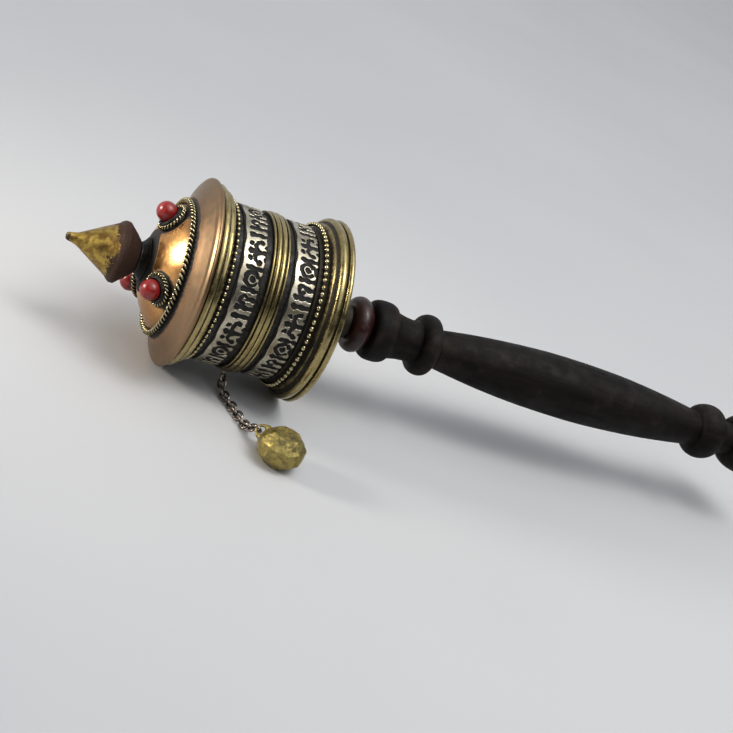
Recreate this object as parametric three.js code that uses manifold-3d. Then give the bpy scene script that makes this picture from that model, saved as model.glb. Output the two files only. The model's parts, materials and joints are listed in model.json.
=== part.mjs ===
// Handheld prayer wheel: a turned wooden handle with a steel rod, and a drum that spins on the rod.
// Millimetres, +Z up. The wheel lies on the two equal rims of its drum, with the rod along X.
// The origin is on the rod's axis, at the flat end of the handle; the finial points to -X.
import * as THREE from "three";
import { ConvexGeometry } from "three/addons/geometries/ConvexGeometry.js";
import { mergeVertices } from "three/addons/utils/BufferGeometryUtils.js";
import Module from "manifold-3d";

const wasm = await Module();
wasm.setup();

// ---- Facets around each turned piece ----
const DRUM_FACETS = 32;
const HANDLE_FACETS = 20;
const SMALL_FACETS = 14;

// ---- Clearances ----
const GAP = 0.3; // between pieces that touch or are soldered together
const RUNNING = 0.5; // radial, between the rod and what turns or slides on it
const END_PLAY = 0.4; // along the rod, between pieces that turn against each other

// ---- Handle and rod ----
const HANDLE_LENGTH = 197.4;
const HANDLE_END_FACE = 5; // radius of the flat at the bottom
const POMMEL_R = 12.9;
const END_BEAD_R = 11.6;
const GRIP_R = 12.25; // at the middle of the swell
const GRIP_NECK_R = 7.3; // where the grip meets the beads
const MIDDLE_BEAD_R = 12;
const COVE_R = 6.8; // between the pommel and the end bead
const WAIST_R = 8.1;
const COLLAR_R = 11.8;
const COLLAR_FACE_R = 9.2;
const POMMEL_TOP = 25;
const END_BEAD_LOW = 31.4;
const END_BEAD_LENGTH = 12.2;
const MIDDLE_BEAD_LENGTH = 7.6;
const WAIST_LENGTH = 11.2;
const COLLAR_LENGTH = 9.2;
const ROD_R = 2.5;
const ROD_IN_HANDLE = 60;
const ROD_IN_FINIAL = 11;

// ---- Washer bead and drum ----
const WASHER_R = 10.8;
const WASHER_FACE_R = 8.2;
const WASHER_LENGTH = 7.8;
const BOSS_R = 6.6;
const BOSS_LENGTH = 13.3;
const SPIGOT_R = 5.6;
const BASE_THICKNESS = 1.2;
const DRUM_HEIGHT = 50.1; // from the underside of the drum to the underside of the lid
const SHELL_R = 28.4;
const SHELL_WALL = 1.2;
const RIM_R = 35; // the base rim and the lid's brim: what the wheel rolls on
const RIM_HEIGHT = 7.2;
const RIM_SLEEVE = 0.7;
const BAND_THICKNESS = 0.75;
const LOWER_BAND_HEIGHT = 9;
const UPPER_BAND_HEIGHT = 9;
const LOWER_BEAD_R = 0.9; // wire radius of the beaded ring above the base rim
const UPPER_BEAD_R = 0.8;
const LOWER_BEAD_GROOVE = 1.5; // dark channel on each side of a beaded ring
const UPPER_BEAD_GROOVE = 0.75;
const MOULDING_HEIGHT = 6.4;
const MOULDING_DEPTH = 1.6; // how far it stands out from the drum
const MOULDING_GROOVE = 2.1;
const CORNICE_HEIGHT = 5.1;
const CORNICE_INSET = 1.1; // how far it stays inside the lid's brim

// ---- Paper roll ----
const TUBE_WALL = 1;
const ROLL_CLEARANCE = 1.3; // radial, between the paper and the lid's skirt
const ROLL_LENGTH = 45.5;

// ---- Lid ----
const LID_WALL = 1.3;
const DOME_INSET = 2.4; // from the inside of the skirt to the foot of the dome
const DOME_CURVE_R = 32.9;
const DOME_BASE_RISE = 7.5; // from the underside of the lid to the foot of the dome
const BRIM_EDGE = 2.1;
const SKIRT_DEPTH = 4.5;
const ROPE_R = 0.95;
const NECK_R = 5.8;
const NECK_HEIGHT = 2;
const STONE_INSET = 5.7; // from the foot of the dome in to the middle of each stone
const STONE_ANGLES = [4, 143, 267]; // degrees from straight up, about the axis: set by eye, not evenly
const STONE_R = 3.7;
const STONE_HEIGHT = 6.2;
const BEZEL_WALL = 0.6;
const BEZEL_HEIGHT = 2.4;
const BEZEL_FLOOR = 0.8;
const BEZEL_WIRE_R = 0.5;

// ---- Finial ----
const FINIAL_R = 11.5;
const FINIAL_FOOT_R = 6;
const FINIAL_UNDERCUT = 6.1; // from its foot to its widest place
const FINIAL_CONE = 19.4; // from its widest place to its tip
const FINIAL_TIP_R = 0.8;

// ---- Chain and weight ----
const WIRE_R = 0.45;
const LINKS = 12;
const LINK_PITCH = 2.75;
const LINK_CLEARANCE = 0.25;
const LINK_BEND_R = 1.45; // centreline radius of a link's round ends
const LINK_ROLL = Math.PI / 4;
const EYELET_ANGLE = -152.75; // degrees from straight up, about the axis
const EYELET_BEND_R = 1.5;
const EYELET_SHANK = 0.6;
const WEIGHT_R = 8.6;
const WEIGHT_THICKNESS = 12.6;
const WEIGHT_SIDES = 9;
const WEIGHT_LOOP_R = 2;
const WEIGHT_HEADING = [0.62, -0.78]; // the way the weight points from its loop, along and across the rod
const LINK_LIE = 1.58; // height of a link's middle above the floor where the chain lies on it
// Where the chain goes from the eyelet: along the rod, away from the drum, and how much of the eyelet's
// and of the weight's height it still has or has gained.
const ROUTE = [
  [0.2, 1.9, 0.43, 0],
  [1.1, 4.6, 0.12, 0],
  [2.7, 8.1, 0, 0],
  [4.5, 12.6, 0, 0],
  [6.1, 17.5, 0, 0],
  [7.4, 21.8, 0, 0.1],
  [8.4, 25.2, 0, 0.5],
  [9.8, 28.9, 0, 1.03],
];

// ---- Places along the rod, from the handle's end ----
const WASHER_LOW = HANDLE_LENGTH + END_PLAY;
const BOSS_LOW = WASHER_LOW + WASHER_LENGTH + END_PLAY;
const DRUM_LOW = BOSS_LOW + BOSS_LENGTH + GAP;
const DRUM_TOP = DRUM_LOW + DRUM_HEIGHT;
const DOME_FOOT = DRUM_TOP + DOME_BASE_RISE;
const BORE_R = ROD_R + RUNNING;
const SKIRT_R = SHELL_R - SHELL_WALL - GAP;
const SKIRT_INNER_R = SKIRT_R - SHELL_WALL;
const DOME_BASE_R = SKIRT_INNER_R - DOME_INSET;
const STONE_RING_R = DOME_BASE_R - STONE_INSET;
const ROLL_R = SKIRT_INNER_R - ROLL_CLEARANCE;
const domeHeightAt = (r) =>
  DOME_FOOT + Math.sqrt(DOME_CURVE_R ** 2 - r ** 2) - Math.sqrt(DOME_CURVE_R ** 2 - DOME_BASE_R ** 2);
const DOME_CENTRE = domeHeightAt(0) - DOME_CURVE_R;
const NECK_LOW = domeHeightAt(BORE_R) + GAP;
const FINIAL_LOW = NECK_LOW + NECK_HEIGHT + GAP;
const SHELL_SEAT = SHELL_R + GAP; // inner radius of everything that wraps the drum
const MOULDING_R = SHELL_SEAT + MOULDING_DEPTH;
const CORNICE_R = RIM_R - CORNICE_INSET;
const LOWER_BEADS_Z = DRUM_LOW + RIM_HEIGHT + LOWER_BEAD_GROOVE + LOWER_BEAD_R;
const LOWER_BAND_LOW = LOWER_BEADS_Z + LOWER_BEAD_R + LOWER_BEAD_GROOVE;
const MOULDING_LOW = LOWER_BAND_LOW + LOWER_BAND_HEIGHT + MOULDING_GROOVE;
const UPPER_BAND_LOW = MOULDING_LOW + MOULDING_HEIGHT + MOULDING_GROOVE;
const CORNICE_LOW = DRUM_TOP - GAP - CORNICE_HEIGHT;
const UPPER_BEADS_Z = CORNICE_LOW - UPPER_BEAD_GROOVE - UPPER_BEAD_R;

const COLOURS = {
  wood: [0x1a1310, 0.6, 0],
  redWood: [0x3c150f, 0.3, 0],
  steel: [0x6a6863, 0.4, 1],
  brass: [0x9c8443, 0.3, 1],
  agedBrass: [0x8a7228, 0.45, 1],
  copper: [0x9a6a4a, 0.35, 1],
  whiteMetal: [0xa09a8a, 0.4, 1],
  blackened: [0x15120f, 0.6, 0.6],
  coral: [0x8c1410, 0.2, 0],
  paper: [0xb9a684, 0.9, 0],
};

// ---- Geometry helpers ----
const rad = THREE.MathUtils.degToRad;

/** A ring or solid turned about Z from [radius, height] pairs that close on themselves or end on the axis. */
function turned(profile, segments) {
  const points = profile.map(([r, z]) => new THREE.Vector2(r, z));
  const onAxis = points[0].x === 0;
  if (!onAxis) points.push(points[0].clone());
  const area = THREE.ShapeUtils.area(points);
  if (area < 0) points.reverse();
  const lathe = new THREE.LatheGeometry(points, segments);
  return lathe.rotateX(Math.PI / 2);
}

/** Points of half an ellipse that bulges from [fromR, low] to [toR, high], out to peakR. */
function bulge(low, high, fromR, peakR, toR, steps) {
  return Array.from({ length: steps + 1 }, (_, k) => {
    const u = -Math.cos((Math.PI * k) / steps);
    const base = THREE.MathUtils.lerp(fromR, toR, (u + 1) / 2);
    const z = THREE.MathUtils.lerp(low, high, (u + 1) / 2);
    return [base + (peakR - base) * Math.sqrt(Math.max(0, 1 - u * u)), z];
  });
}

/** Points of a parabolic swell between [endR, low] and [endR, high]. */
function swell(low, high, endR, peakR, steps) {
  return Array.from({ length: steps + 1 }, (_, k) => {
    const u = (2 * k) / steps - 1;
    return [endR + (peakR - endR) * (1 - u * u), THREE.MathUtils.lerp(low, high, k / steps)];
  });
}

/** A round ring of wire about Z. */
function wireRing(ringR, wireR, z, segments) {
  const sides = 6;
  const profile = Array.from({ length: sides }, (_, k) => {
    const a = (2 * Math.PI * k) / sides;
    return [ringR + wireR * Math.cos(a), z + wireR * Math.sin(a)];
  });
  return turned(profile, segments);
}

/** A plain tube about Z. */
function tube(innerR, outerR, low, high, segments) {
  return turned([[innerR, low], [outerR, low], [outerR, high], [innerR, high]], segments);
}

/** A wire ring in the XY plane, pulled apart along X by stretch on each side to make a chain link. */
function link(bendR, wireR, stretch) {
  const geometry = new THREE.TorusGeometry(bendR, wireR, 6, 14);
  const position = geometry.getAttribute("position");
  for (let i = 0; i < position.count; i++) {
    position.setX(i, position.getX(i) + Math.sign(position.getX(i)) * stretch);
  }
  return geometry;
}

/** The closed geometry as a manifold-3d solid. */
function solidOf(geometry) {
  const bare = geometry.clone();
  bare.deleteAttribute("normal");
  bare.deleteAttribute("uv");
  const merged = mergeVertices(bare, 1e-4);
  return new wasm.Manifold(
    new wasm.Mesh({
      numProp: 3,
      vertProperties: new Float32Array(merged.getAttribute("position").array),
      triVerts: new Uint32Array(merged.index.array),
    }),
  );
}

/** Joins closed geometries that run into each other. */
function joined(...geometries) {
  const mesh = geometries.map(solidOf).reduce((a, b) => a.add(b)).getMesh();
  const geometry = new THREE.BufferGeometry();
  geometry.setAttribute("position", new THREE.BufferAttribute(mesh.vertProperties, 3));
  geometry.setIndex(new THREE.BufferAttribute(mesh.triVerts, 1));
  return geometry;
}

/** A named mesh with its own material, put into parent. */
function add(parent, name, geometry, colour) {
  const [color, roughness, metalness] = COLOURS[colour];
  geometry.computeVertexNormals();
  const material = new THREE.MeshStandardMaterial({ color, roughness, metalness });
  const mesh = new THREE.Mesh(geometry, material);
  mesh.name = name;
  parent.add(mesh);
  return mesh;
}

// ---- Handle, rod and washer ----
function handleProfile() {
  const gripLow = END_BEAD_LOW + END_BEAD_LENGTH;
  const collarLow = HANDLE_LENGTH - COLLAR_LENGTH;
  const beadHigh = collarLow - WAIST_LENGTH;
  const beadLow = beadHigh - MIDDLE_BEAD_LENGTH;
  const boreR = ROD_R + GAP;
  const boreLow = HANDLE_LENGTH - ROD_IN_HANDLE - GAP;
  return [
    [0, 0],
    ...bulge(0, POMMEL_TOP, HANDLE_END_FACE, POMMEL_R, COVE_R, 8),
    ...bulge(END_BEAD_LOW, gripLow, COVE_R, END_BEAD_R, GRIP_NECK_R, 6),
    ...swell(gripLow + 0.6, beadLow - 0.6, GRIP_NECK_R, GRIP_R, 9),
    ...bulge(beadLow, beadHigh, GRIP_NECK_R, MIDDLE_BEAD_R, WAIST_R + 0.6, 6),
    [WAIST_R, (beadHigh + collarLow) / 2],
    ...bulge(collarLow, HANDLE_LENGTH, WAIST_R + 0.8, COLLAR_R, COLLAR_FACE_R, 6),
    [boreR, HANDLE_LENGTH],
    [boreR, boreLow],
    [0, boreLow],
  ];
}

function rodGeometry() {
  const low = HANDLE_LENGTH - ROD_IN_HANDLE;
  const high = FINIAL_LOW + ROD_IN_FINIAL;
  const chamfer = 0.5;
  return turned(
    [[0, low], [ROD_R, low], [ROD_R, high - chamfer], [ROD_R - chamfer, high], [0, high]],
    SMALL_FACETS,
  );
}

function washerGeometry() {
  const high = WASHER_LOW + WASHER_LENGTH;
  return turned(
    [
      [BORE_R, WASHER_LOW],
      ...bulge(WASHER_LOW, high, WASHER_FACE_R, WASHER_R, WASHER_FACE_R, 8),
      [BORE_R, high],
    ],
    HANDLE_FACETS,
  );
}

// ---- Drum ----
function bossGeometry() {
  const high = BOSS_LOW + BOSS_LENGTH;
  const flare = 1.4;
  return turned(
    [
      [BORE_R, BOSS_LOW],
      [BOSS_R, BOSS_LOW],
      [BOSS_R, high - flare],
      [BOSS_R + flare, high - flare / 2],
      [BOSS_R + flare, high],
      [SPIGOT_R, high],
      [SPIGOT_R, DRUM_LOW + BASE_THICKNESS + GAP],
      [BORE_R, DRUM_LOW + BASE_THICKNESS + GAP],
    ],
    HANDLE_FACETS,
  );
}

function baseRimProfile() {
  const z = (share) => DRUM_LOW + RIM_HEIGHT * share;
  const sleeveR = SHELL_SEAT + RIM_SLEEVE;
  return [
    [SHELL_SEAT, DRUM_LOW],
    [RIM_R - 0.8, DRUM_LOW],
    [RIM_R, z(0.11)],
    [RIM_R, z(0.45)],
    [RIM_R - 0.5, z(0.53)],
    [RIM_R - 1.5, z(0.58)],
    [RIM_R - 1.5, z(0.64)],
    [RIM_R - 0.9, z(0.72)],
    [RIM_R - 1.2, z(0.88)],
    [RIM_R - 2.2, z(1)],
    [sleeveR + 0.6, z(1) + 0.3],
    [sleeveR, z(1) + 0.9],
    [sleeveR, LOWER_BAND_LOW - GAP],
    [SHELL_SEAT, LOWER_BAND_LOW - GAP],
  ];
}

function mouldingProfile() {
  const z = (share) => MOULDING_LOW + MOULDING_HEIGHT * share;
  const grooveR = MOULDING_R - 0.8;
  return [
    [SHELL_SEAT, z(0)],
    [grooveR, z(0)],
    [MOULDING_R - 0.4, z(0.1)],
    [MOULDING_R - 0.4, z(0.16)],
    [grooveR, z(0.24)],
    [MOULDING_R - 0.2, z(0.34)],
    [MOULDING_R, z(0.5)],
    [MOULDING_R - 0.2, z(0.66)],
    [grooveR, z(0.76)],
    [MOULDING_R - 0.4, z(0.84)],
    [MOULDING_R - 0.4, z(0.9)],
    [grooveR, z(1)],
    [SHELL_SEAT, z(1)],
  ];
}

function corniceProfile() {
  const z = (share) => CORNICE_LOW + CORNICE_HEIGHT * share;
  return [
    [SHELL_SEAT, z(0)],
    [SHELL_SEAT + 1.2, z(0)],
    [SHELL_SEAT + 1.7, z(0.12)],
    [SHELL_SEAT + 1.5, z(0.26)],
    [SHELL_SEAT + 2.4, z(0.4)],
    [SHELL_SEAT + 2.6, z(0.55)],
    [CORNICE_R - 1, z(0.72)],
    [CORNICE_R, z(0.88)],
    [CORNICE_R, z(1)],
    [SHELL_SEAT, z(1)],
  ];
}

function addDrum(wheel) {
  const shellLow = DRUM_LOW + BASE_THICKNESS + GAP;
  const band = (low, height) => tube(SHELL_SEAT, SHELL_SEAT + BAND_THICKNESS, low, low + height, DRUM_FACETS);
  add(wheel, "base_bushing", bossGeometry(), "brass");
  const disc = tube(SPIGOT_R + GAP, SHELL_R, DRUM_LOW, DRUM_LOW + BASE_THICKNESS, DRUM_FACETS);
  add(wheel, "drum_base", disc, "brass");
  const shell = tube(SHELL_R - SHELL_WALL, SHELL_R, shellLow, DRUM_TOP - GAP, DRUM_FACETS);
  add(wheel, "drum_shell", shell, "blackened");
  add(wheel, "base_rim", turned(baseRimProfile(), DRUM_FACETS), "brass");
  const lowerRingR = SHELL_SEAT + RIM_SLEEVE + GAP + LOWER_BEAD_R;
  add(wheel, "bead_ring_lower", wireRing(lowerRingR, LOWER_BEAD_R, LOWER_BEADS_Z, DRUM_FACETS), "brass");
  add(wheel, "ornament_band_lower", band(LOWER_BAND_LOW, LOWER_BAND_HEIGHT), "whiteMetal");
  add(wheel, "centre_moulding", turned(mouldingProfile(), DRUM_FACETS), "brass");
  add(wheel, "ornament_band_upper", band(UPPER_BAND_LOW, UPPER_BAND_HEIGHT), "whiteMetal");
  const upperRingR = SHELL_SEAT + UPPER_BEAD_R;
  add(wheel, "bead_ring_upper", wireRing(upperRingR, UPPER_BEAD_R, UPPER_BEADS_Z, DRUM_FACETS), "brass");
  add(wheel, "cornice_moulding", turned(corniceProfile(), DRUM_FACETS), "brass");
}

// ---- Paper roll on its tube ----
function addRoll(wheel) {
  const low = DRUM_LOW + BASE_THICKNESS + 2 * GAP;
  const tubeR = BORE_R + TUBE_WALL;
  add(wheel, "roll_tube", tube(BORE_R, tubeR, low, low + ROLL_LENGTH + 2, SMALL_FACETS), "brass");
  add(wheel, "paper_roll", tube(tubeR + GAP, ROLL_R, low, low + ROLL_LENGTH, DRUM_FACETS), "paper");
}

// ---- Lid ----
function lidProfile() {
  const domeSteps = 4;
  const arc = (fromR, toR, drop) =>
    Array.from({ length: domeSteps + 1 }, (_, k) => {
      const r = THREE.MathUtils.lerp(fromR, toR, k / domeSteps);
      return [r, domeHeightAt(r) - drop];
    });
  const brimTop = DRUM_TOP + BRIM_EDGE;
  const brimFoot = DOME_FOOT - 0.6;
  const middleR = (DOME_BASE_R + RIM_R) / 2;
  const middleZ = THREE.MathUtils.lerp(brimFoot, brimTop, 0.58);
  return [
    ...arc(BORE_R, DOME_BASE_R, 0),
    [DOME_BASE_R + 1, brimFoot],
    [middleR, middleZ],
    [RIM_R - 0.8, brimTop + 0.1],
    [RIM_R, brimTop - 0.6],
    [RIM_R, DRUM_TOP + 0.6],
    [RIM_R - 0.6, DRUM_TOP],
    [RIM_R - 1.8, DRUM_TOP],
    [RIM_R - 2.4, DRUM_TOP + 1],
    [middleR, middleZ - LID_WALL],
    [SKIRT_R, middleZ],
    [SKIRT_R, DRUM_TOP - SKIRT_DEPTH],
    [SKIRT_INNER_R, DRUM_TOP - SKIRT_DEPTH],
    [SKIRT_INNER_R, middleZ],
    ...arc(DOME_BASE_R - 1, BORE_R, LID_WALL),
  ];
}

/** A holder whose +Z is the dome's outward normal and whose origin is a gap above the dome's surface. */
function seatOnDome(wheel, angle) {
  const tilt = Math.asin(STONE_RING_R / DOME_CURVE_R);
  const turn = new THREE.Group();
  turn.position.z = DOME_CENTRE;
  turn.rotation.z = rad(angle);
  const lean = new THREE.Group();
  lean.rotation.y = tilt;
  const seat = new THREE.Group();
  seat.position.z = DOME_CURVE_R + GAP;
  wheel.add(turn);
  turn.add(lean);
  lean.add(seat);
  return seat;
}

function addStones(wheel) {
  const cupR = STONE_R + GAP;
  const cupOuterR = cupR + BEZEL_WALL;
  const cup = [
    [0, 0],
    [cupOuterR, 0],
    [cupOuterR, BEZEL_HEIGHT],
    [cupR, BEZEL_HEIGHT],
    [cupR, BEZEL_FLOOR],
    [0, BEZEL_FLOOR],
  ];
  const foot = BEZEL_FLOOR + GAP;
  const dome = Array.from({ length: 6 }, (_, k) => {
    const a = (Math.PI / 2) * (k / 5);
    return [k === 5 ? 0 : STONE_R * Math.cos(a), foot + 1.2 + (STONE_HEIGHT - 1.2) * Math.sin(a)];
  });
  for (let k = 0; k < STONE_ANGLES.length; k++) {
    const seat = seatOnDome(wheel, STONE_ANGLES[k]);
    add(seat, `bezel_${k + 1}`, turned(cup, SMALL_FACETS), "blackened");
    add(seat, `coral_stone_${k + 1}`, turned([[0, foot], [STONE_R, foot], ...dome], SMALL_FACETS), "coral");
    const wireR = cupOuterR + GAP + BEZEL_WIRE_R;
    add(seat, `bezel_wire_${k + 1}`, wireRing(wireR, BEZEL_WIRE_R, BEZEL_WIRE_R, SMALL_FACETS), "brass");
  }
}

function addLid(wheel) {
  add(wheel, "lid", turned(lidProfile(), DRUM_FACETS), "copper");
  const ropeZ = DOME_FOOT - 0.3 + GAP + ROPE_R;
  add(wheel, "lid_rope_ring", wireRing(DOME_BASE_R + 1.4, ROPE_R, ropeZ, DRUM_FACETS), "agedBrass");
  const collar = tube(BORE_R, NECK_R, NECK_LOW, NECK_LOW + NECK_HEIGHT, HANDLE_FACETS);
  add(wheel, "neck_collar", collar, "blackened");
  addStones(wheel);
}

// ---- Finial ----
function finialGeometry() {
  const socketR = ROD_R + GAP;
  const socketTop = FINIAL_LOW + ROD_IN_FINIAL + GAP;
  const widest = FINIAL_LOW + FINIAL_UNDERCUT;
  const tip = widest + FINIAL_CONE;
  return turned(
    [
      [0, socketTop],
      [socketR, socketTop],
      [socketR, FINIAL_LOW],
      [FINIAL_FOOT_R, FINIAL_LOW],
      [FINIAL_FOOT_R + 1.8, FINIAL_LOW + 1.2],
      [FINIAL_R - 0.4, widest - 0.7],
      [FINIAL_R, widest],
      [FINIAL_R - 0.7, widest + 1.6],
      [THREE.MathUtils.lerp(FINIAL_R, FINIAL_TIP_R, 0.64), widest + FINIAL_CONE * 0.6],
      [FINIAL_TIP_R + 0.8, tip - 1.9],
      [FINIAL_TIP_R, tip - 0.4],
      [0, tip],
    ],
    HANDLE_FACETS,
  );
}

// ---- Chain and weight ----
/** Half the distance between the wire centres of two pieces that hook into each other. */
const HOOK = WIRE_R + LINK_CLEARANCE / 2;

/** Turns a piece made along X, with its flat side facing Z, to run along direction, its width along side. */
function aim(mesh, place, direction, side) {
  const flat = new THREE.Vector3().crossVectors(direction, side);
  mesh.quaternion.setFromRotationMatrix(new THREE.Matrix4().makeBasis(direction, side, flat));
  mesh.position.copy(place);
}

function eyeletGeometry() {
  const ringAt = EYELET_SHANK + EYELET_BEND_R;
  const foot = new THREE.CylinderGeometry(1.3, 1.3, EYELET_SHANK, 12).rotateZ(Math.PI / 2);
  foot.translate(EYELET_SHANK / 2, 0, 0);
  const shank = new THREE.CylinderGeometry(WIRE_R, WIRE_R, EYELET_SHANK + WIRE_R, 8).rotateZ(Math.PI / 2);
  shank.translate((EYELET_SHANK + WIRE_R) / 2, 0, 0);
  return joined(foot, shank, link(EYELET_BEND_R, WIRE_R, 0).translate(ringAt, 0, 0));
}

/** A thick hammered bead with chamfered faces, and its loop on the -X side at the origin. */
function weightGeometry() {
  const middle = 2 * WEIGHT_LOOP_R - HOOK + WEIGHT_R * 0.94;
  const levels = [
    [WEIGHT_R * 0.62, WEIGHT_THICKNESS / 2],
    [WEIGHT_R, WEIGHT_THICKNESS * 0.22],
    [WEIGHT_R, -WEIGHT_THICKNESS * 0.22],
    [WEIGHT_R * 0.62, -WEIGHT_THICKNESS / 2],
  ];
  const points = levels.flatMap(([r, z], row) =>
    Array.from({ length: WEIGHT_SIDES }, (_, k) => {
      const a = (2 * Math.PI * (k + (row % 2) / 2)) / WEIGHT_SIDES;
      return new THREE.Vector3(middle + r * Math.cos(a), r * Math.sin(a), z);
    }),
  );
  const loop = link(WEIGHT_LOOP_R, WIRE_R, 0).rotateX(LINK_ROLL);
  return joined(new ConvexGeometry(points), loop.translate(WEIGHT_LOOP_R - HOOK, 0, 0));
}

/** The chain's route from start over the floor, stretched sideways by spread. */
function chainRoute(start, spread) {
  const exitDrop = start.z + RIM_R - LINK_LIE;
  const weightRise = WEIGHT_THICKNESS / 2 - LINK_LIE;
  const points = ROUTE.map(([along, away, fromExit, toWeight]) => {
    const height = LINK_LIE + fromExit * exitDrop + toWeight * weightRise;
    return new THREE.Vector3(start.x + spread * along, start.y - spread * away, height - RIM_R);
  });
  return new THREE.CatmullRomCurve3([start, ...points]);
}

/** The route whose length is the chain's own. */
function fittedRoute(start) {
  let [low, high] = [0.2, 5];
  while (high - low > 1e-4) {
    const middle = (low + high) / 2;
    if (chainRoute(start, middle).getLength() > LINKS * LINK_PITCH) high = middle;
    else low = middle;
  }
  return chainRoute(start, low);
}

function addChain(root) {
  const up = new THREE.Vector3(0, 0, 1);
  const out = new THREE.Vector3(0, Math.sin(rad(EYELET_ANGLE)), Math.cos(rad(EYELET_ANGLE)));
  const eyeletX = -(MOULDING_LOW + MOULDING_HEIGHT / 2);
  const eyeletFoot = new THREE.Vector3(eyeletX, 0, 0).addScaledVector(out, MOULDING_R + GAP);
  const across = new THREE.Vector3(1, 0, 0).applyAxisAngle(out, -LINK_ROLL);
  aim(add(root, "chain_eyelet", eyeletGeometry(), "blackened"), eyeletFoot, out, across);

  const start = eyeletFoot.clone().addScaledVector(out, EYELET_SHANK + 2 * EYELET_BEND_R - HOOK);
  const route = fittedRoute(start);
  const stretch = LINK_PITCH / 2 + HOOK - LINK_BEND_R;
  const joint = start.clone();
  for (let k = 0; k < LINKS; k++) {
    const direction = route.getTangentAt((k + 0.5) / LINKS);
    const level = new THREE.Vector3().crossVectors(up, direction).normalize();
    const side = level.applyAxisAngle(direction, k % 2 ? -LINK_ROLL : LINK_ROLL);
    const centre = joint.clone().addScaledVector(direction, LINK_PITCH / 2);
    const mesh = add(root, `chain_link_${k + 1}`, link(LINK_BEND_R, WIRE_R, stretch), "steel");
    aim(mesh, centre, direction, side);
    joint.addScaledVector(direction, LINK_PITCH);
  }
  const heading = new THREE.Vector3(...WEIGHT_HEADING, 0).normalize();
  const weight = add(root, "chain_weight", weightGeometry(), "agedBrass");
  aim(weight, joint, heading, new THREE.Vector3().crossVectors(up, heading));
}

// ---- The whole wheel ----
function build() {
  const root = new THREE.Group();
  const wheel = new THREE.Group(); // everything on the rod is made upright, then laid along X
  wheel.rotation.y = -Math.PI / 2;
  root.add(wheel);
  add(wheel, "handle", turned(handleProfile(), HANDLE_FACETS), "wood");
  add(wheel, "axle_rod", rodGeometry(), "steel");
  add(wheel, "washer_bead", washerGeometry(), "redWood");
  addDrum(wheel);
  addRoll(wheel);
  addLid(wheel);
  add(wheel, "finial", finialGeometry(), "agedBrass");
  addChain(root);
  return root;
}

const prayerWheel = build();
export default prayerWheel;
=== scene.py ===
"""A handheld prayer wheel on a pale floor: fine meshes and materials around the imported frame.

Everything is in metres in the frame's own axes: the rod runs along X, the finial points to -X,
and the floor touches the two rims of the drum. "Along" is the distance from the handle's end
towards the finial, and an angle about the rod is counted from straight up towards +Y.
"""

import json
import math
import random

import bmesh
import bpy
import numpy as np
from mathutils import Matrix, Vector, noise


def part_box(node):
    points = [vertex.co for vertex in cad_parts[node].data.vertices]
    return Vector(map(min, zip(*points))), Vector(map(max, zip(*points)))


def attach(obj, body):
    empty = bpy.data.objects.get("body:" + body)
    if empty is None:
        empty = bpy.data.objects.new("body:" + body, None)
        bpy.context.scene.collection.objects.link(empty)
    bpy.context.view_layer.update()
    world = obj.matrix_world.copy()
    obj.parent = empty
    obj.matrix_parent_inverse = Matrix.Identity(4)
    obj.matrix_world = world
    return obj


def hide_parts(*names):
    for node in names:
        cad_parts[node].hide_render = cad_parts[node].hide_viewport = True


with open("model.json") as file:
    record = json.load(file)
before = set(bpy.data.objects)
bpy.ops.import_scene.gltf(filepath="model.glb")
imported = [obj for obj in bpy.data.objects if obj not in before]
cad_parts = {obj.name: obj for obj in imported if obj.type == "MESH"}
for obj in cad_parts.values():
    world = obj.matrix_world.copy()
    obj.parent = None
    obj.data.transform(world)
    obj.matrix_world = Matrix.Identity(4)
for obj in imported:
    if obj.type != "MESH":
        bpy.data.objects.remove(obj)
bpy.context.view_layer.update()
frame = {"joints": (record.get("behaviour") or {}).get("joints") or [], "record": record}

MM = 0.001
TURN = 2 * math.pi
record = frame["record"]
BODY_OF = {node: body for body, nodes in record["behaviour"]["bodies"].items() for node in nodes}
SLOT_OF = {part["node"]: part["material_slot"] for part in record["subparts"]}


# ---- Sizes read from the frame ----
def reach(node):
    """The largest radius of a piece that is round about the rod."""
    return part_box(node)[1].z


def span(node):
    """(low, high) of a node, counted along the rod from the handle's end."""
    low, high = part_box(node)
    return -high.x, -low.x


FLOOR_Z = -reach("base_rim")
SHELL_R = reach("drum_shell")
SHELL_WALL = 1.2 * MM
SEAM = 0.3 * MM  # the gap that stands for a soldered or pressed seam
ROD_R = reach("axle_rod")
BORE_R = ROD_R + 0.4 * MM
DRUM_LOW = span("drum_base")[0]
DRUM_TOP = span("drum_shell")[1] + SEAM
STONES = 3
LINKS = sum(1 for node in BODY_OF if node.startswith("chain_link_"))


# ---- Mesh helpers ----
def set_attributes(mesh, attributes):
    for key, values in attributes.items():
        layer = mesh.attributes.new(key, "FLOAT", "POINT")
        layer.data.foreach_set("value", np.asarray(values, np.float32))


def new_object(name, points, faces, attributes):
    """A smooth-shaded mesh object with its faces turned outwards, and float attributes on its points."""
    mesh = bpy.data.meshes.new(name)
    mesh.from_pydata([tuple(p) for p in points], [], faces)
    set_attributes(mesh, attributes)
    work = bmesh.new()
    work.from_mesh(mesh)
    bmesh.ops.recalc_face_normals(work, faces=work.faces)
    work.to_mesh(mesh)
    work.free()
    mesh.polygons.foreach_set("use_smooth", [True] * len(mesh.polygons))
    mesh.update()
    piece = bpy.data.objects.new(name, mesh)
    bpy.context.scene.collection.objects.link(piece)
    return piece


def grid_faces(rows, columns, wrap_rows, wrap_columns, first=0):
    """Quads over a rows x columns grid of points."""
    faces = []
    for i in range(rows if wrap_rows else rows - 1):
        below, above = first + i * columns, first + ((i + 1) % rows) * columns
        for j in range(columns if wrap_columns else columns - 1):
            k = (j + 1) % columns
            faces.append((below + j, below + k, above + k, above + j))
    return faces


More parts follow.
